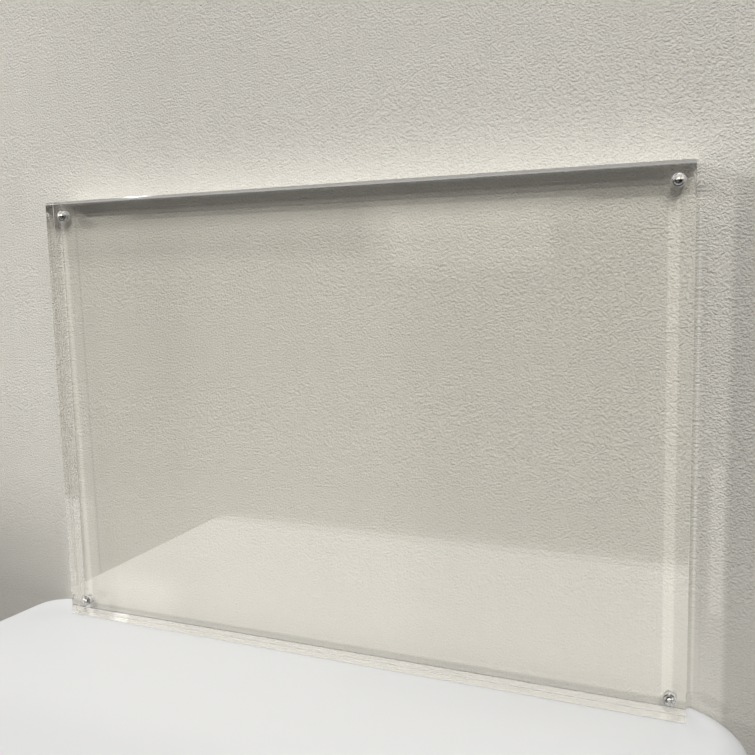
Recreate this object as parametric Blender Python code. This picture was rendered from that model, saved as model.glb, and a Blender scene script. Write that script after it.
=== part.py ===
"""Clear acrylic sign holder: two thick panels held face to face by magnets in their corners.

Metres, +Z up, the front towards -Y. The holder stands on Z = 0 with its middle on the Z axis, and
the joint between the panels, where the sheet goes, lies on the plane Y = 0.
"""

import math

import bmesh
import bpy
from mathutils import Matrix, Vector

# Panels, cut from cast acrylic sheet
PANEL_WIDTH = 0.330
PANEL_HEIGHT = 0.229
FRONT_PANEL_THICKNESS = 0.010
BACK_PANEL_THICKNESS = 0.010
SHEET_GAP = 0.0003
ARRIS_CHAMFER = 0.0002

# Magnets: short round bars with a ball nose, the flat end at the joint between the panels
MAGNET_DIAMETER = 0.0048
MAGNET_BARREL = 0.0024
MAGNET_ARRIS = 0.0003
MAGNET_SIDE_INSET = 0.0071
MAGNET_END_INSET = 0.0071

# Pockets, drilled from the inner faces with a ball-nosed cutter
POCKET_CLEARANCE = 0.00035
MAGNET_SINK = 0.0001

# Facets
ROUND_SEGMENTS = 32
NOSE_STEPS = 6
ARRIS_STEPS = 2
SMOOTH_ANGLE = math.radians(30)

# Room that a pocket's cutter leaves beyond the inner face it cuts
CUTTER_OVERRUN = 0.001

# Finishes: colour, roughness, metallic
ACRYLIC_FINISH = ((0.90, 0.91, 0.89), 0.03, 0.0)
NICKEL_FINISH = ((0.78, 0.77, 0.74), 0.12, 1.0)

CORNERS = {
    "top_left": (-1, 1),
    "top_right": (1, 1),
    "bottom_left": (-1, -1),
    "bottom_right": (1, -1),
}


def clear_scene():
    for thing in list(bpy.data.objects):
        bpy.data.objects.remove(thing, do_unlink=True)


def make_material(name, finish):
    """A plain finish from its colour, roughness and metallic value."""
    colour, roughness, metallic = finish
    material = bpy.data.materials.new(name)
    material.use_nodes = True
    shader = material.node_tree.nodes["Principled BSDF"]
    shader.inputs["Base Color"].default_value = (*colour, 1.0)
    shader.inputs["Roughness"].default_value = roughness
    shader.inputs["Metallic"].default_value = metallic
    return material


def quarter_arc(centre_radius, centre_height, radius, start, steps):
    """Points (r, z) on a quarter circle in a turned profile, from the angle start upwards."""
    points = []
    for step in range(steps + 1):
        angle = start + step / steps * math.pi / 2
        points.append(
            (
                centre_radius + radius * math.cos(angle),
                centre_height + radius * math.sin(angle),
            )
        )
    return points


def ball_nosed_profile(radius, bottom, ball_height, arris):
    """Half outline (r, z) of a round bar: flat end at bottom, ball nose centred at ball_height."""
    points = [(0.0, bottom)]
    if arris > 0.0:
        points += quarter_arc(
            radius - arris, bottom + arris, arris, -math.pi / 2, ARRIS_STEPS
        )
    else:
        points.append((radius, bottom))
    points += quarter_arc(0.0, ball_height, radius, 0.0, NOSE_STEPS)[:-1]
    points.append((0.0, ball_height + radius))
    return points


def turned_mesh(name, profile):
    """Spins a profile that starts and ends on the axis round Z into one closed mesh."""
    shape = bmesh.new()
    outline = [shape.verts.new((r, 0.0, z)) for r, z in profile]
    edges = [shape.edges.new(pair) for pair in zip(outline, outline[1:])]
    bmesh.ops.spin(
        shape,
        geom=[*outline, *edges],
        cent=(0, 0, 0),
        axis=(0, 0, 1),
        angle=math.tau,
        steps=ROUND_SEGMENTS,
        use_merge=True,
    )
    bmesh.ops.remove_doubles(shape, verts=shape.verts, dist=1e-6)
    bmesh.ops.recalc_face_normals(shape, faces=shape.faces)
    mesh = bpy.data.meshes.new(name)
    shape.to_mesh(mesh)
    shape.free()
    mesh.shade_smooth()
    mesh.set_sharp_from_angle(angle=SMOOTH_ANGLE)
    return mesh


def add_object(name, mesh, parent, place=None):
    thing = bpy.data.objects.new(name, mesh)
    bpy.context.collection.objects.link(thing)
    thing.parent = parent
    if place is not None:
        thing.matrix_local = place
    return thing


def add_empty(name):
    return add_object(name, None, None)


def magnet_centre(corner):
    """Place (x, z) of the magnets in one corner, the same in both panels."""
    side, end = CORNERS[corner]
    x = side * (PANEL_WIDTH / 2 - MAGNET_SIDE_INSET)
    z = PANEL_HEIGHT / 2 + end * (PANEL_HEIGHT / 2 - MAGNET_END_INSET)
    return x, z


def nose_towards(outward, corner):
    """Stands a turned piece on an inner face at a corner, with its nose along Y times outward."""
    x, z = magnet_centre(corner)
    inner_face = outward * SHEET_GAP / 2
    lie_down = Matrix.Rotation(-outward * math.pi / 2, 4, "X")
    return Matrix.Translation(Vector((x, inner_face, z))) @ lie_down


def panel_mesh(name, thickness, outward):
    """A sheet of acrylic with its inner face beside Y = 0 and every arris chamfered."""
    inner = outward * SHEET_GAP / 2
    middle = inner + outward * thickness / 2
    place = Matrix.Translation((0, middle, PANEL_HEIGHT / 2))
    size = Matrix.Diagonal((PANEL_WIDTH, thickness, PANEL_HEIGHT, 1.0))
    shape = bmesh.new()
    bmesh.ops.create_cube(shape, size=1.0, matrix=place @ size)
    bmesh.ops.bevel(
        shape,
        geom=list(shape.edges),
        offset=ARRIS_CHAMFER,
        offset_type="OFFSET",
        segments=1,
        profile=0.5,
        affect="EDGES",
    )
    mesh = bpy.data.meshes.new(name)
    shape.to_mesh(mesh)
    shape.free()
    return mesh


def drill_pockets(panel, outward, cutter_mesh):
    """Cuts the four blind pockets into a panel's inner face."""
    for corner in CORNERS:
        place = nose_towards(outward, corner)
        cutter = add_object(
            f"{panel.name}_cutter_{corner}", cutter_mesh, panel.parent, place
        )
        cutter.hide_render = True
        cutter.display_type = "WIRE"
        cut = panel.modifiers.new(f"pocket_{corner}", "BOOLEAN")
        cut.operation = "DIFFERENCE"
        cut.solver = "EXACT"
        cut.object = cutter


def make_half(side, outward, thickness, acrylic, magnet_mesh, cutter_mesh):
    """One panel with its four pockets and the magnets glued in them."""
    carrier = add_empty(f"{side}_half")
    panel_name = f"{side}_panel"
    panel = add_object(
        panel_name, panel_mesh(panel_name, thickness, outward), carrier
    )
    panel.data.materials.append(acrylic)
    drill_pockets(panel, outward, cutter_mesh)
    for corner in CORNERS:
        place = nose_towards(outward, corner)
        add_object(f"{side}_magnet_{corner}", magnet_mesh, carrier, place)


def main():
    clear_scene()
    acrylic = make_material("clear_acrylic", ACRYLIC_FINISH)
    nickel = make_material("nickel_plate", NICKEL_FINISH)

    radius = MAGNET_DIAMETER / 2
    ball_height = MAGNET_SINK + MAGNET_BARREL
    magnet_mesh = turned_mesh(
        "magnet", ball_nosed_profile(radius, MAGNET_SINK, ball_height, MAGNET_ARRIS)
    )
    magnet_mesh.materials.append(nickel)
    cutter_mesh = turned_mesh(
        "pocket_cutter",
        ball_nosed_profile(
            radius + POCKET_CLEARANCE, -CUTTER_OVERRUN, ball_height, 0.0
        ),
    )

    make_half("front", -1, FRONT_PANEL_THICKNESS, acrylic, magnet_mesh, cutter_mesh)
    make_half("back", 1, BACK_PANEL_THICKNESS, acrylic, magnet_mesh, cutter_mesh)
    bpy.context.view_layer.update()


main()
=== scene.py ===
"""Looks of a clear acrylic sign holder: two thick panels held together by magnets in their corners.

Metres, +Z up, the front towards -Y. The holder stands on Z = 0, on a table and close to a wall.
"""

import math

import bmesh
import bpy
import numpy as np
from mathutils import Matrix, Vector


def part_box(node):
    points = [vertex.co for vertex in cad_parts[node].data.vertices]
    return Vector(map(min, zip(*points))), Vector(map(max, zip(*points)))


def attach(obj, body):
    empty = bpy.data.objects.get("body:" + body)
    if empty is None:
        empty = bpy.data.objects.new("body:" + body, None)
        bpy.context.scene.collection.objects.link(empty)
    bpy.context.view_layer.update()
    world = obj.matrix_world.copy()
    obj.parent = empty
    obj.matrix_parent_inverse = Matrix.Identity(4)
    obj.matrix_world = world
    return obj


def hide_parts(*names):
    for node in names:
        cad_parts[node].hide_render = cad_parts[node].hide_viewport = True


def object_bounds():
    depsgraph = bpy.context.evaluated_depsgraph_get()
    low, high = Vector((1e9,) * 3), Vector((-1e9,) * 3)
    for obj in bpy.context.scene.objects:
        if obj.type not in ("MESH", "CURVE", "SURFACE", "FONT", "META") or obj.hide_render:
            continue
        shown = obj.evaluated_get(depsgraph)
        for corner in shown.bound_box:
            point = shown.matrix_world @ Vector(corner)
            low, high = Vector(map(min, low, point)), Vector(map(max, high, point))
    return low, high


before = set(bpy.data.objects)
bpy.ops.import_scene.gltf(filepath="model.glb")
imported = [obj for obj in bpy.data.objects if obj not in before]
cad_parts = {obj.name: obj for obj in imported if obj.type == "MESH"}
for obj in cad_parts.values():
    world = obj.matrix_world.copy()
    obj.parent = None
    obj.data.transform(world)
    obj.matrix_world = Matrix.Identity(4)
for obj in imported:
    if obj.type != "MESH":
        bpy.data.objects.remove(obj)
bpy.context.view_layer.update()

# Camera: place and aim in metres, roll in degrees, lens and sensor in millimetres
CAMERA_PLACE = (0.1971, -0.3787, 0.1902)
CAMERA_AIM = (0.0284, -0.0102, 0.1405)
CAMERA_ROLL = -1.33
CAMERA_LENS = 42.51
CAMERA_SENSOR = 36.0

# Wall in metres: how far it is behind the holder at its foot and at its top, and where it ends
GAP_AT_FOOT = 0.0033
GAP_AT_TOP = 0.0002
WALL_SIDE = 3.0
WALL_BOTTOM = -1.0
WALL_TOP = 3.0

# Table top in metres. Its left side goes outwards by the flare for each metre towards the front. The
# corners are the radii at front left, front right, back right and back left. The roll is how far the
# rounded upper rim reaches in from the sides, in from front and back, and down.
TABLE_LEFT = -0.204
TABLE_RIGHT = 0.191
TABLE_FRONT = -0.2035
TABLE_BACK = 0.0112
TABLE_FLARE = 0.042
TABLE_CORNERS = (0.010, 0.010, 0.030, 0.014)
TABLE_CORNER_STEPS = 24
TABLE_ROLL = (0.014, 0.003, 0.012)
TABLE_ROLL_STEPS = 8
TABLE_THICKNESS = 0.035
TABLE_DROP = 0.0002

# Lamps: degrees to the right of straight in front, degrees above the horizon, strength, and width in
# metres. Each stands at the same distance from the point that it aims at.
LIGHT_COLOUR = (1.0, 0.985, 0.955)
LAMP_DISTANCE = 2.2
LAMP_AIM = (-0.08, 0.01, 0.05)
LAMP_SPREAD = math.radians(90)
LAMPS = {
    "near_lamp": (18.8, 24.3, 0.041, 0.05),
    "middle_lamp": (14.0, 19.7, 0.026, 0.05),
    "left_lamp": (-45.0, 20.0, 0.030, 0.05),
    "soft_front_lamp": (20.0, 35.0, 0.083, 0.7),
    "soft_back_lamp": (180.0, 60.0, 0.057, 0.7),
    "edge_glint_lamp": (-96.3, 53.0, 0.004, 0.03),
}

# Room light that the world gives: the radiance of each part, and its edges in degrees round and up.
# The glint is a small disc, and the plating's light is seen only through the clear panels.
WINDOW_LIGHT = 2.5
WINDOW_ROUND = (-92, -80, -58, -50)
WINDOW_UP = (-4, 0, 18, 22)
CEILING_LIGHT = 0.61
CEILING_ROUND = (-55, -45, 45, 55)
CEILING_UP = (14, 44)
GLINT_LIGHT = 250.0
GLINT_WAY = (-41.6, 20.8)
GLINT_RADIUS = 0.45
PLATING_LIGHT = 1.5
PLATING_UP = (7, 16)
BACKGROUND_LIGHT = 0.82
BACKGROUND_COLOUR = (1.0, 1.0, 1.0)

# Most light that one bounced sample may bring
BRIGHTEST_BOUNCE = 4.0

# Light and shade painted into the wall's colour, where the panels and their edges would throw light and
# shadow, and where the room lights the wall unevenly at the left. Its edges in x and z in metres, how far
# they fade across and upwards, and how much lighter the wall is painted there
PAINTED_WALL_LIGHT = {
    "behind_panels": (-0.165, 0.165, -0.010, 0.229, 0.0010, 0.0010, 0.07),
    "behind_middle": (-0.085, 0.040, -0.010, 0.229, 0.0300, 0.0300, 0.05),
    "inside_left_end": (-0.166, -0.1625, -0.010, 0.227, 0.0016, 0.0016, 0.20),
    "left_end_line": (-0.1562, -0.1549, 0.020, 0.227, 0.0006, 0.0006, -0.12),
    "inside_right_end": (0.1532, 0.1578, -0.010, 0.225, 0.0007, 0.0007, 0.18),
    "behind_right_end": (0.1612, 0.1645, -0.010, 0.227, 0.0012, 0.0012, 0.02),
    "beside_right_end": (0.1665, 0.1777, -0.010, 0.229, 0.0008, 0.0008, 0.03),
    "right_edge_line": (0.1658, 0.1685, -0.010, 0.200, 0.0008, 0.0300, -0.07),
    "low_right_line": (0.1658, 0.1702, 0.030, 0.105, 0.0008, 0.0300, -0.07),
    "low_right_stripe": (0.1715, 0.1765, 0.040, 0.105, 0.0015, 0.0015, 0.12),
    "right_shade": (0.1777, 0.900, -1.000, 0.222, 0.0030, 0.0030, -0.17),
    "upper_left_shade": (-0.166, 0.020, 0.197, 0.222, 0.0100, 0.0100, -0.12),
    "low_left_glow": (-0.152, -0.105, 0.000, 0.022, 0.0200, 0.0120, 0.13),
    "foot_line": (-0.165, 0.165, -0.010, 0.0018, 0.0012, 0.0012, -0.28),
    "upper_middle_light": (0.030, 0.105, 0.190, 0.2175, 0.0060, 0.0100, 0.09),
    "under_top_edge": (-0.120, 0.166, 0.2184, 0.2215, 0.0200, 0.0008, -0.26),
    "under_top_right": (0.120, 0.164, 0.2165, 0.2184, 0.0120, 0.0008, -0.26),
    "top_left_shade": (-0.166, -0.138, 0.2215, 0.228, 0.0120, 0.0012, -0.22),
    "halo": (-0.190, 0.190, 0.215, 0.249, 0.0260, 0.0260, 0.14),
    "left_of_room": (-0.900, -0.150, 0.080, 1.000, 0.1000, 0.1000, 0.14),
    "low_left_shade": (-0.900, -0.188, -1.000, 0.035, 0.0120, 0.0800, -0.30),
}

# Heights on the wall in metres between which its plaster gets rougher and its paint lighter
WALL_ROUGHENS = (0.03, 0.09)

# Colours of the acrylic and of what covers it, and the share of a lamp's light that it lets through
ACRYLIC_IOR = 1.49
FACE_TINT = (0.995, 0.992, 0.990)
FACE_LETS_THROUGH = (0.99, 0.99, 0.98)
EDGE_TINT = (0.985, 0.985, 0.972)
EDGE_LETS_THROUGH = (0.95, 0.95, 0.94)
EDGE_MIRROR = (0.97, 0.97, 0.96)
SCUFF_COLOUR = (0.8, 0.8, 0.78)
SATIN_TINT = (0.97, 0.97, 0.96)
SATIN_LETS_THROUGH = (0.02, 0.02, 0.02)
POCKET_TINT = (0.98, 0.98, 0.97)
POCKET_LETS_THROUGH = (0.9, 0.9, 0.89)
FROST_COLOUR = (0.95, 0.95, 0.94)

# Colours of the rest
NICKEL_PALE = (0.80, 0.79, 0.76)
NICKEL_DEEP = (0.74, 0.72, 0.68)
WALL_PAINT = (0.735, 0.714, 0.666)
TABLE_PAINT = (0.733, 0.747, 0.775)

# Panels
ARRIS_CHAMFER = 0.0002
JOINT_CHAMFER = 0.00005
POCKET_RADIUS = 0.00275
POCKET_BARREL = 0.0025
POCKET_SEGMENTS = 96
POCKET_STEPS = 20

# Magnets
MAGNET_RADIUS = 0.0024
MAGNET_SINK = 0.0001
MAGNET_BARREL = 0.0024
MAGNET_ARRIS = 0.0003
MAGNET_INSET = 0.0071
MAGNET_SEGMENTS = 96
NOSE_STEPS = 24
MAGNET_ARRIS_STEPS = 6

# Places of a panel's materials in its list
FACE, POLISHED_EDGE, SATIN_EDGE, DRILLED_POCKET, ARRIS, STANDING_EDGE = range(6)

MERGE_DISTANCE = 1e-7
SMOOTH_ANGLE = math.radians(30)
SIDES = {"front": -1, "back": 1}
CORNERS = {
    "top_left": (-1, 1),
    "top_right": (1, 1),
    "bottom_left": (-1, -1),
    "bottom_right": (1, -1),
}


class Wire:
    """A shader socket that Python's operators work on: each operator adds its Math node."""

    def __init__(self, shop, socket):
        self.shop = shop
        self.socket = socket

    def __add__(self, other):
        return self.shop.maths("ADD", self, other)

    def __sub__(self, other):
        return self.shop.maths("SUBTRACT", self, other)

    def __rsub__(self, other):
        return self.shop.maths("SUBTRACT", other, self)

    def __mul__(self, other):
        return self.shop.maths("MULTIPLY", self, other)

    def __neg__(self):
        return self.shop.maths("MULTIPLY", self, -1.0)

    __radd__ = __add__
    __rmul__ = __mul__


class Shop:
    """Makes the nodes of one material, or of the world."""

    def __init__(self, owner):
        self.owner = owner
        owner.use_nodes = True
        self.tree = owner.node_tree
        self.tree.nodes.clear()

    def node(self, kind, settings=None, *values, output=0, **named):
        """Adds a node of this kind, sets its settings, feeds its sockets, and returns one output."""
        made = self.tree.nodes.new(kind)
        for key, setting in (settings or {}).items():
            setattr(made, key, setting)
        for index, value in enumerate(values):
            self.feed(made.inputs[index], value)
        for key, value in named.items():
            self.feed(made.inputs[key.replace("_", " ")], value)
        return Wire(self, made.outputs[output])

    def feed(self, socket, value):
        """Links a wire to a socket, or sets the socket's value. A colour is given without its alpha."""
        if isinstance(value, Wire):
            self.tree.links.new(value.socket, socket)
        elif socket.type == "RGBA":
            socket.default_value = (*value, 1.0)
        else:
            socket.default_value = value

    def maths(self, operation, *values, **settings):
        return self.node("ShaderNodeMath", {"operation": operation, **settings}, *values)

    def place(self, scale=(1.0, 1.0, 1.0), turn=(0.0, 0.0, 0.0)):
        """Object coordinates in metres, scaled and turned."""
        spot = self.node("ShaderNodeTexCoord", output="Object")
        return self.node("ShaderNodeMapping", None, spot, Scale=scale, Rotation=turn)

    def axis(self, vector, name):
        """One of the three parts of a vector, by its name X, Y or Z."""
        return self.node("ShaderNodeSeparateXYZ", None, vector, output=name)

    def noise(self, place, scale=1.0, detail=2.0, roughness=0.5):
        return self.node(
            "ShaderNodeTexNoise", None, Vector=place, Scale=scale, Detail=detail, Roughness=roughness
        )

    def between(self, value, low, high, start=0.0, end=1.0):
        """The value's range from start to end, stretched to run from low to high."""
        return self.node("ShaderNodeMapRange", None, value, start, end, low, high)

    def within(self, value, edges):
        """1 where the value lies between the inner pair of four edges, fading to 0 at the outer pair."""
        rise = self.between(value, 0.0, 1.0, edges[0], edges[1])
        fall = self.between(value, 1.0, 0.0, edges[2], edges[3])
        return rise * fall

    def aslant(self):
        """0 where the surface is seen straight on, rising to 1 where it is seen along itself."""
        return self.node("ShaderNodeLayerWeight", None, 0.5, output="Facing")

    def lamp_ray(self):
        """1 for a ray on its way to a lamp, 0 for any other."""
        return self.node("ShaderNodeLightPath", output="Is Shadow Ray")

    def tint(self, factor, one, other):
        """A colour that runs from one to the other. The node takes colours at inputs 6 and 7."""
        mix = self.node("ShaderNodeMix", {"data_type": "RGBA"}, factor, output=2)
        self.feed(mix.socket.node.inputs[6], one)
        self.feed(mix.socket.node.inputs[7], other)
        return mix

    def bump(self, height, strength, distance):
        return self.node(
            "ShaderNodeBump", None, Strength=strength, Distance=distance, Height=height
        )

    def mix(self, share, one, other):
        """A surface that is the first where the share is 0 and the second where it is 1."""
        return self.node("ShaderNodeMixShader", None, share, one, other)

    def acrylic(self, tint, roughness, **more):
        return self.node(
            "ShaderNodeBsdfPrincipled",
            Base_Color=tint,
            Roughness=roughness,
            IOR=ACRYLIC_IOR,
            Transmission_Weight=1.0,
            **more,
        )

    def frost(self, white):
        """A dull film that scatters light: the share of white throws it back, the rest lets it in."""
        glow = self.node("ShaderNodeBsdfTranslucent", Color=FROST_COLOUR)
        film = self.node("ShaderNodeBsdfDiffuse", Color=FROST_COLOUR)
        return self.mix(white, glow, film)

    def let_lamps_through(self, surface, share):
        """The surface for every ray but a lamp's, which goes straight through and keeps this share."""
        clear = self.node("ShaderNodeBsdfTransparent", Color=share)
        return self.mix(self.lamp_ray(), surface, clear)

    def finish(self, surface, kind="ShaderNodeOutputMaterial"):
        out = self.tree.nodes.new(kind)
        self.tree.links.new(surface.socket, out.inputs["Surface"])
        return self.owner


def material_shop(name):
    return Shop(bpy.data.materials.new(name))


def face_finish():
    """Polished cast sheet: barely wavy, with faint wiping marks."""
    shop = material_shop("clear_acrylic")
    waves = shop.noise(shop.place(), scale=22.0, detail=1.0)
    wiping = shop.noise(shop.place((14.0, 14.0, 60.0), (0.0, 0.5, 0.0)), detail=3.0, roughness=0.6)
    glass = shop.acrylic(
        FACE_TINT,
        shop.between(wiping, 0.0, 0.012, start=0.5, end=0.8),
        Normal=shop.bump(waves, strength=0.02, distance=0.001),
    )
    return shop.finish(shop.let_lamps_through(glass, FACE_LETS_THROUGH))


def polished_edge_finish(name, scuffed):
    """Machined and polished edge: fine lines run along it, it mirrors where it is seen aslant, and
    about this share of it is scuffed."""
    shop = material_shop(name)
    lines = shop.noise(shop.place((3.0, 1400.0, 3.0)), roughness=0.6)
    glass = shop.acrylic(
        EDGE_TINT,
        shop.between(lines, 0.0, 0.01, start=0.35, end=0.7),
        Normal=shop.bump(lines, strength=0.004, distance=0.0001),
    )
    mirror = shop.node("ShaderNodeBsdfAnisotropic", Color=EDGE_MIRROR, Roughness=0.01)
    mirror_share = shop.between(shop.aslant(), 0.0, 0.85, start=0.82, end=0.92)
    scuffs = shop.node("ShaderNodeBsdfTranslucent", Color=SCUFF_COLOUR)
    scuff_share = shop.between(lines, 0.8 * scuffed, 1.2 * scuffed, start=0.35, end=0.7)
    surface = shop.mix(scuff_share, shop.mix(mirror_share, glass, mirror), scuffs)
    return shop.finish(shop.let_lamps_through(surface, EDGE_LETS_THROUGH))


def arris_finish():
    """Arris taken off with a scraper: a little less polished than the edge."""
    shop = material_shop("scraped_arris")
    chatter = shop.noise(shop.place((600.0, 600.0, 600.0)), roughness=0.6)
    glass = shop.acrylic(EDGE_TINT, shop.between(chatter, 0.07, 0.11, start=0.3, end=0.7))
    return shop.finish(shop.let_lamps_through(glass, EDGE_LETS_THROUGH))


def satin_edge_finish():
    """Sawn and sanded edge: it scatters light both ways."""
    shop = material_shop("satin_edge")
    lines = shop.noise(shop.place((12.0, 900.0, 12.0)), roughness=0.6)
    grain = shop.noise(shop.place(), scale=1800.0, roughness=0.6)
    relief = shop.bump(lines + grain, strength=0.3, distance=0.0001)
    glass = shop.acrylic(SATIN_TINT, 0.35, Normal=relief)
    dusty = shop.between(grain, 0.85, 1.0, start=0.35, end=0.7)
    surface = shop.mix(dusty, glass, shop.frost(white=0.73))
    return shop.finish(shop.let_lamps_through(surface, SATIN_LETS_THROUGH))


def drilled_finish():
    """Wall of a drilled pocket: rings left by the cutter, and a frost that shows where it is seen aslant."""
    shop = material_shop("drilled_pocket")
    rings = shop.noise(shop.place((40.0, 5000.0, 40.0)), roughness=0.6)
    glass = shop.acrylic(
        POCKET_TINT,
        shop.between(rings, 0.08, 0.22, start=0.3, end=0.7),
        Normal=shop.bump(rings, strength=0.15, distance=0.0001),
    )
    frosted = shop.between(shop.aslant(), 0.0, 0.9, start=0.35, end=0.85)
    surface = shop.mix(frosted, glass, shop.frost(white=0.5))
    return shop.finish(shop.let_lamps_through(surface, POCKET_LETS_THROUGH))


def nickel_finish():
    """Bright nickel plate: barrel-polished, with faint hairlines and a warm cast."""
    shop = material_shop("nickel_plate")
    cloud = shop.noise(shop.place(), scale=700.0, detail=3.0, roughness=0.6)
    hairs = shop.noise(shop.place((9000.0, 900.0, 900.0), (0.3, 0.6, 0.9)), roughness=0.7)
    metal = shop.node(
        "ShaderNodeBsdfPrincipled",
        Base_Color=shop.tint(cloud, NICKEL_PALE, NICKEL_DEEP),
        Metallic=1.0,
        Roughness=shop.between(cloud, 0.03, 0.12, start=0.3, end=0.7),
        Normal=shop.bump(hairs, strength=0.06, distance=0.00005),
    )
    return shop.finish(metal)


def faded(start, end, fade):
    """Four edges for within: the range from start to end, faded halfway inwards and halfway outwards."""
    return start - fade / 2, start + fade / 2, end - fade / 2, end + fade / 2


def painted_light_on_wall(shop, x, z):
    """Painted light and shade for the wall's colour, standing in for the light and shadow that the holder
    throws: 1 plus the gain of each patch, which fades at its edges, with faint upright stripes of painted
    light."""
    total = 1.0
    # Each patch paints the wall lighter, or darker where its gain is below 0, in place of thrown light and
    # shadow
    for left, right, low, high, fade_across, fade_up, gain in PAINTED_WALL_LIGHT.values():
        across = shop.within(x, faded(left, right, fade_across))
        upwards = shop.within(z, faded(low, high, fade_up))
        total = across * upwards * gain + total
    painted_streaks = shop.noise(shop.place((700.0, 0.0, 2.0)), roughness=0.6)
    return total * shop.between(painted_streaks, 0.985, 1.015, start=0.3, end=0.7)


def wall_finish():
    """Fine stippled plaster, seen only from the front. It is smoother low down, where it would look
    paler for that, so its paint is darker there. Its paint also carries painted light and shade from the
    holder and the room."""
    shop = material_shop("wall_plaster")
    place = shop.place()
    x = shop.axis(place, "X")
    z = shop.axis(place, "Z")
    stipple = shop.noise(place, scale=1050.0, detail=3.0, roughness=0.55)
    relief = stipple * shop.between(z, 0.25, 1.0, *WALL_ROUGHENS)
    # Painted light and shade: the patches of painted light and shadow scale the wall's paint colour
    light = painted_light_on_wall(shop, x, z) * shop.between(z, 0.75, 1.0, *WALL_ROUGHENS)
    paint = shop.node(
        "ShaderNodeBsdfPrincipled",
        Base_Color=shop.node("ShaderNodeVectorMath", {"operation": "SCALE"}, WALL_PAINT, Scale=light),
        Roughness=0.9,
        Specular_IOR_Level=0.1,
        Normal=shop.bump(relief, strength=1.0, distance=0.0023),
    )
    behind = shop.node("ShaderNodeNewGeometry", output="Backfacing")
    clear = shop.node("ShaderNodeBsdfTransparent")
    return shop.finish(shop.mix(shop.maths("MAXIMUM", behind, shop.lamp_ray()), paint, clear))


def table_finish():
    """Smooth white laminate."""
    shop = material_shop("table_top")
    paint = shop.node(
        "ShaderNodeBsdfPrincipled",
        Base_Color=TABLE_PAINT,
        Roughness=0.55,
        Specular_IOR_Level=0.3,
    )
    return shop.finish(paint)


def add_mesh(name, points, faces, materials):
    mesh = bpy.data.meshes.new(name)
    mesh.from_pydata(np.asarray(points).reshape(-1, 3).tolist(), [], faces)
    mesh.update()
    for material in materials:
        mesh.materials.append(material)
    thing = bpy.data.objects.new(name, mesh)
    bpy.context.collection.objects.link(thing)
    return thing


def band_faces(rows, columns, first=0):
    """Quads between neighbouring rows of a grid whose columns close into rings."""
    index = first + np.arange(rows * columns).reshape(rows, columns)
    ahead = np.roll(index, -1, axis=1)
    quads = np.stack([index[:-1], ahead[:-1], ahead[1:], index[1:]], axis=-1)
    return quads.reshape(-1, 4).tolist()


def fan_faces(ring, pole):
    """Triangles from a closed ring of points to one point."""
    ring = np.asarray(ring)
    return np.stack([ring, np.roll(ring, -1), np.full_like(ring, pole)], axis=-1).tolist()


def arc(centre, radius, start, steps):
    """Points (r, depth) on a quarter circle: centre plus radius times the cosine and sine."""
    angle = start + np.linspace(0.0, math.pi / 2, steps + 1)
    return np.stack([centre[0] + radius * np.cos(angle), centre[1] + radius * np.sin(angle)], axis=-1)


def turned(profile, centre, inner, outward, segments):
    """A profile (r, depth) turned about an axis along Y: x and z go round the centre by r, and y goes
    from the inner face outwards by depth."""
    angle = np.linspace(0.0, math.tau, segments, endpoint=False)
    radius = profile[:, :1]
    x = centre[0] + radius * np.cos(angle)
    z = centre[1] + radius * np.sin(angle)
    y = np.broadcast_to(inner + outward * profile[:, 1:], x.shape)
    return np.stack([x, y, z], axis=-1)


def turn_faces_outwards(shape):
    bmesh.ops.recalc_face_normals(shape, faces=shape.faces)


def smooth(mesh):
    mesh.shade_smooth()
    mesh.set_sharp_from_angle(angle=SMOOTH_ANGLE)


def magnet_centre(corner):
    """Place (x, z) of the magnets in one corner."""
    side, end = CORNERS[corner]
    low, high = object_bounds()
    x = side * (high[0] - MAGNET_INSET)
    z = (low[2] + high[2]) / 2 + end * ((high[2] - low[2]) / 2 - MAGNET_INSET)
    return x, z


def inner_face(side):
    """Place y of a panel's inner face, at the joint."""
    low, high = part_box(f"{side}_panel")
    return high[1] if side == "front" else low[1]


def outline(low, high, inset):
    """Rectangle from low to high in x and z with its corners cut by the arris, drawn in by the inset:
    each corner gives two points, one moved along each of its sides by what is left of the cut."""
    sign = np.array([(1, -1), (1, 1), (-1, 1), (-1, -1)])
    corner = (low + high) / 2 + sign * ((high - low) / 2 - inset)
    cut = ARRIS_CHAMFER - inset
    moved = np.stack([corner - sign * (cut, 0.0), corner - sign * (0.0, cut)], axis=1)
    moved[1::2] = moved[1::2, ::-1]
    return moved.reshape(-1, 2)


def panel_rings(side):
    """The panel's outline carried along a profile (inset, depth) from its inner face outwards."""
    low, high = (np.array(corner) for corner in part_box(f"{side}_panel"))
    depth = high[1] - low[1]
    profile = [
        (JOINT_CHAMFER, 0.0),
        (0.0, JOINT_CHAMFER),
        (0.0, depth - ARRIS_CHAMFER),
        (ARRIS_CHAMFER, depth),
    ]
    rings = []
    for inset, along in profile:
        ring = outline(low[[0, 2]], high[[0, 2]], inset)
        rings.append(np.insert(ring, 1, inner_face(side) + SIDES[side] * along, axis=1))
    return np.array(rings)


def pocket_profile():
    """Half outline (r, depth) of a pocket: its straight wall, then its ball-shaped end up to the pole."""
    ball = arc((0.0, POCKET_BARREL), POCKET_RADIUS, 0.0, POCKET_STEPS)
    return np.vstack([[(POCKET_RADIUS, 0.0)], ball[:-1]])


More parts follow.
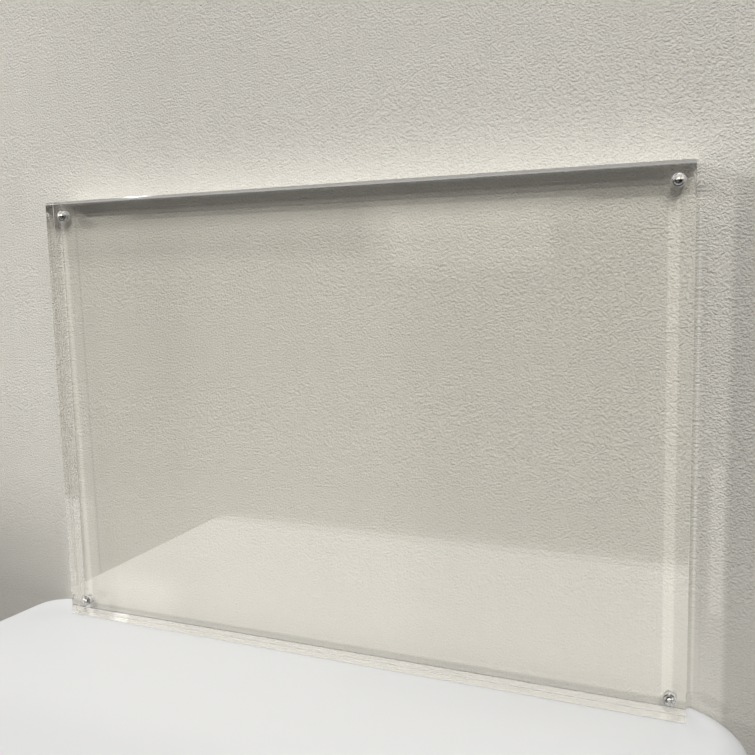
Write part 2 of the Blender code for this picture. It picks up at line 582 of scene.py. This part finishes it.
def make_panel(side, materials):
    """One panel: its rings and outer face, four turned pockets, and the inner face filled between
    them."""
    outward = SIDES[side]
    inner = inner_face(side)
    rings = panel_rings(side)
    rows, columns = rings.shape[:2]
    first = rows * columns
    points = [rings.reshape(-1, 3)]
    faces = band_faces(rows, columns)
    slots = [POLISHED_EDGE] * len(faces) + [FACE]
    faces.append(list(range(first - columns, first)))
    wall = pocket_profile()
    for corner in CORNERS:
        centre = magnet_centre(corner)
        grid = turned(wall, centre, inner, outward, POCKET_SEGMENTS)
        pole = (centre[0], inner + outward * (POCKET_BARREL + POCKET_RADIUS), centre[1])
        points += [grid.reshape(-1, 3), np.array([pole])]
        made = band_faces(len(wall), POCKET_SEGMENTS, first)
        last = first + (len(wall) - 1) * POCKET_SEGMENTS
        made += fan_faces(np.arange(last, last + POCKET_SEGMENTS), last + POCKET_SEGMENTS)
        faces += made
        slots += [DRILLED_POCKET] * len(made)
        first = last + POCKET_SEGMENTS + 1
    panel = add_mesh(f"{side}_panel_clear", np.vstack(points), faces, materials)
    panel.data.polygons.foreach_set("material_index", slots)
    fill_inner_face(panel.data)
    sort_edges(panel.data)
    smooth(panel.data)
    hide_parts(f"{side}_panel")
    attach(panel, f"{side}_half")


def fill_inner_face(mesh):
    """Closes the panel between the rim of its inner face and the pockets."""
    shape = bmesh.new()
    shape.from_mesh(mesh)
    bmesh.ops.remove_doubles(shape, verts=shape.verts, dist=MERGE_DISTANCE)
    rims = [edge for edge in shape.edges if edge.is_boundary]
    bmesh.ops.triangle_fill(shape, use_beauty=True, use_dissolve=False, edges=rims)
    turn_faces_outwards(shape)
    shape.to_mesh(mesh)
    shape.free()


def sort_edges(mesh):
    """Gives the arrises, the lower edge and the upper edge their own materials, by the way they face."""
    count = len(mesh.polygons)
    normal = np.empty(count * 3)
    slots = np.empty(count, np.int32)
    mesh.polygons.foreach_get("normal", normal)
    mesh.polygons.foreach_get("material_index", slots)
    normal = normal.reshape(-1, 3)
    edge = slots == POLISHED_EDGE
    slots[edge & (np.abs(normal).max(axis=1) < 0.9)] = ARRIS
    slots[edge & (normal[:, 2] < -0.99)] = STANDING_EDGE
    slots[edge & (normal[:, 2] > 0.99)] = SATIN_EDGE
    mesh.polygons.foreach_set("material_index", slots)


def make_magnet(side, corner, material):
    """A round bar with a ball nose: a turned profile of a flat end, its arris, the barrel and the nose."""
    outward = SIDES[side]
    inner = inner_face(side)
    centre = magnet_centre(corner)
    ball = MAGNET_SINK + MAGNET_BARREL
    flat = MAGNET_RADIUS - MAGNET_ARRIS
    edge = arc((flat, MAGNET_SINK + MAGNET_ARRIS), MAGNET_ARRIS, -math.pi / 2, MAGNET_ARRIS_STEPS)
    nose = arc((0.0, ball), MAGNET_RADIUS, 0.0, NOSE_STEPS)[:-1]
    profile = np.vstack([edge, nose])
    grid = turned(profile, centre, inner, outward, MAGNET_SEGMENTS)
    poles = [
        (centre[0], inner + outward * MAGNET_SINK, centre[1]),
        (centre[0], inner + outward * (ball + MAGNET_RADIUS), centre[1]),
    ]
    count = len(profile) * MAGNET_SEGMENTS
    faces = band_faces(len(profile), MAGNET_SEGMENTS)
    faces += fan_faces(np.arange(MAGNET_SEGMENTS)[::-1], count)
    faces += fan_faces(np.arange(count - MAGNET_SEGMENTS, count), count + 1)
    name = f"{side}_magnet_{corner}"
    magnet = add_mesh(f"{name}_plated", np.vstack([grid.reshape(-1, 3), poles]), faces, [material])
    if outward > 0:
        # Turned this way, its faces come out facing inwards
        magnet.data.flip_normals()
    smooth(magnet.data)
    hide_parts(name)
    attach(magnet, f"{side}_half")


def make_wall():
    """A flat wall behind the holder: its distance at any height follows from those at foot and top."""
    back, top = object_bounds()[1][1:]
    height = np.array([WALL_BOTTOM, WALL_BOTTOM, WALL_TOP, WALL_TOP])
    across = np.array([-WALL_SIDE, WALL_SIDE, WALL_SIDE, -WALL_SIDE])
    away = back + GAP_AT_FOOT + (GAP_AT_TOP - GAP_AT_FOOT) * height / top
    corners = np.stack([across, away, height], axis=-1)
    add_mesh("wall", corners, [(0, 1, 2, 3)], [wall_finish()])


def table_rim():
    """The table's outline: a rectangle with a quarter circle at each corner, whose left side flares
    outwards to the front."""
    signs = ((-1, -1), (1, -1), (1, 1), (-1, 1))
    rim = []
    for quarter, (radius, (across, along)) in enumerate(zip(TABLE_CORNERS, signs)):
        x = (TABLE_RIGHT if across > 0 else TABLE_LEFT) - across * radius
        y = (TABLE_BACK if along > 0 else TABLE_FRONT) - along * radius
        rim.append(arc((x, y), radius, math.pi + quarter * math.pi / 2, TABLE_CORNER_STEPS))
    rim = np.vstack(rim)
    on_left = rim[:, 0] < (TABLE_LEFT + TABLE_RIGHT) / 2
    rim[:, 0] -= on_left * (TABLE_BACK - rim[:, 1]) * TABLE_FLARE
    return rim


def make_table():
    """A table top: its outline, drawn in at the upper rim along a quarter ellipse and carried down to
    the thickness."""
    rim = table_rim()
    middle = np.array(((TABLE_LEFT + TABLE_RIGHT) / 2, (TABLE_FRONT + TABLE_BACK) / 2))
    reach = np.array(((TABLE_RIGHT - TABLE_LEFT) / 2, (TABLE_BACK - TABLE_FRONT) / 2))
    out_x, out_y, down = TABLE_ROLL
    rings = []
    for angle in np.linspace(math.pi / 2, 0.0, TABLE_ROLL_STEPS + 1):
        inset = (1 - math.cos(angle)) * np.array((out_x, out_y))
        ring = middle + (rim - middle) * (1 - inset / reach)
        rings.append(np.insert(ring, 2, down * (math.sin(angle) - 1) - TABLE_DROP, axis=1))
    rings.append(np.insert(rim, 2, -TABLE_THICKNESS, axis=1))
    count = len(rim)
    faces = [list(range(count)), *band_faces(len(rings), count)]
    table = add_mesh("table", np.array(rings), faces, [table_finish()])
    shape = bmesh.new()
    shape.from_mesh(table.data)
    turn_faces_outwards(shape)
    shape.to_mesh(table.data)
    shape.free()
    table.data.shade_smooth()


def add_camera():
    data = bpy.data.cameras.new("camera")
    data.lens = CAMERA_LENS
    data.sensor_width = CAMERA_SENSOR
    camera = bpy.data.objects.new("camera", data)
    bpy.context.collection.objects.link(camera)
    look = Vector(CAMERA_AIM) - Vector(CAMERA_PLACE)
    turn = look.to_track_quat("-Z", "Y").to_matrix().to_4x4()
    roll = Matrix.Rotation(math.radians(CAMERA_ROLL), 4, "Z")
    camera.matrix_world = Matrix.Translation(CAMERA_PLACE) @ turn @ roll
    bpy.context.scene.camera = camera


def way_to(azimuth, elevation):
    """Unit vector at these degrees to the right of straight in front and above the horizon."""
    around = math.radians(azimuth)
    above = math.radians(elevation)
    flat = math.cos(above)
    return Vector((math.sin(around) * flat, -math.cos(around) * flat, math.sin(above)))


def add_lamp(name, azimuth, elevation, strength, width):
    """A round lamp with a narrowed beam: strength is what it gives a white wall or table facing it."""
    way = way_to(azimuth, elevation)
    facing = -way.y if way.y < 0 else way.z
    data = bpy.data.lights.new(name, "AREA")
    data.shape = "DISK"
    data.size = width
    data.energy = strength * (math.pi * LAMP_DISTANCE) ** 2 / facing
    data.color = LIGHT_COLOUR
    data.spread = LAMP_SPREAD
    data.cycles.use_multiple_importance_sampling = False
    lamp = bpy.data.objects.new(name, data)
    bpy.context.collection.objects.link(lamp)
    lamp.location = Vector(LAMP_AIM) + way * LAMP_DISTANCE
    lamp.rotation_mode = "QUATERNION"
    lamp.rotation_quaternion = (-way).to_track_quat("-Z", "Y")


def glint(shop, way):
    """1 in a small disc of the world round the glint's way, 0 elsewhere."""
    towards = shop.node(
        "ShaderNodeVectorMath", {"operation": "DOT_PRODUCT"}, way, way_to(*GLINT_WAY), output="Value"
    )
    return shop.maths("GREATER_THAN", towards, math.cos(math.radians(GLINT_RADIUS)))


def add_world():
    """A dim room with a bright ceiling in front, a window at the left and one small glint, and a pale
    background for rays that reach it straight or only through clear pieces."""
    world = bpy.data.worlds.new("world")
    bpy.context.scene.world = world
    shop = Shop(world)
    way = shop.node("ShaderNodeTexCoord", output="Generated")
    x, y, z = (shop.axis(way, name) for name in "XYZ")
    around = shop.maths("ARCTAN2", x, -y) * math.degrees(1.0)
    above = shop.maths("ARCSINE", z) * math.degrees(1.0)
    straight, through, diffuse, glossy = (
        shop.node("ShaderNodeLightPath", output=name)
        for name in ("Is Camera Ray", "Is Transmission Ray", "Diffuse Depth", "Glossy Depth")
    )
    undiffused = shop.maths("LESS_THAN", diffuse, 0.5)
    window = shop.within(around, WINDOW_ROUND) * shop.within(above, WINDOW_UP) * WINDOW_LIGHT
    ceiling = shop.within(around, CEILING_ROUND) * shop.between(above, 0.0, 1.0, *CEILING_UP)
    plating = through * undiffused * shop.between(above, 0.0, PLATING_LIGHT, *PLATING_UP)
    spark = glint(shop, way) * undiffused * GLINT_LIGHT
    room_light = window + ceiling * CEILING_LIGHT + plating + spark
    room = shop.node("ShaderNodeBackground", None, LIGHT_COLOUR, room_light)
    bounced = shop.maths("ADD", diffuse, glossy, use_clamp=True)
    seen = straight + through * (1.0 - bounced)
    pale = shop.node("ShaderNodeBackground", None, BACKGROUND_COLOUR, BACKGROUND_LIGHT)
    shop.finish(shop.mix(seen, room, pale), "ShaderNodeOutputWorld")
    world.cycles.sampling_method = "NONE"


def main():
    add_camera()
    panel_materials = [
        face_finish(),
        polished_edge_finish("polished_edge", scuffed=0.0),
        satin_edge_finish(),
        drilled_finish(),
        arris_finish(),
        polished_edge_finish("standing_edge", scuffed=0.10),
    ]
    nickel = nickel_finish()
    for side in SIDES:
        make_panel(side, panel_materials)
        for corner in CORNERS:
            make_magnet(side, corner, nickel)
    make_wall()
    make_table()
    for name, lamp in LAMPS.items():
        add_lamp(name, *lamp)
    add_world()
    scene = bpy.context.scene
    scene.view_settings.view_transform = "Standard"
    scene.cycles.blur_glossy = 0.0
    scene.cycles.sample_clamp_indirect = BRIGHTEST_BOUNCE


main()
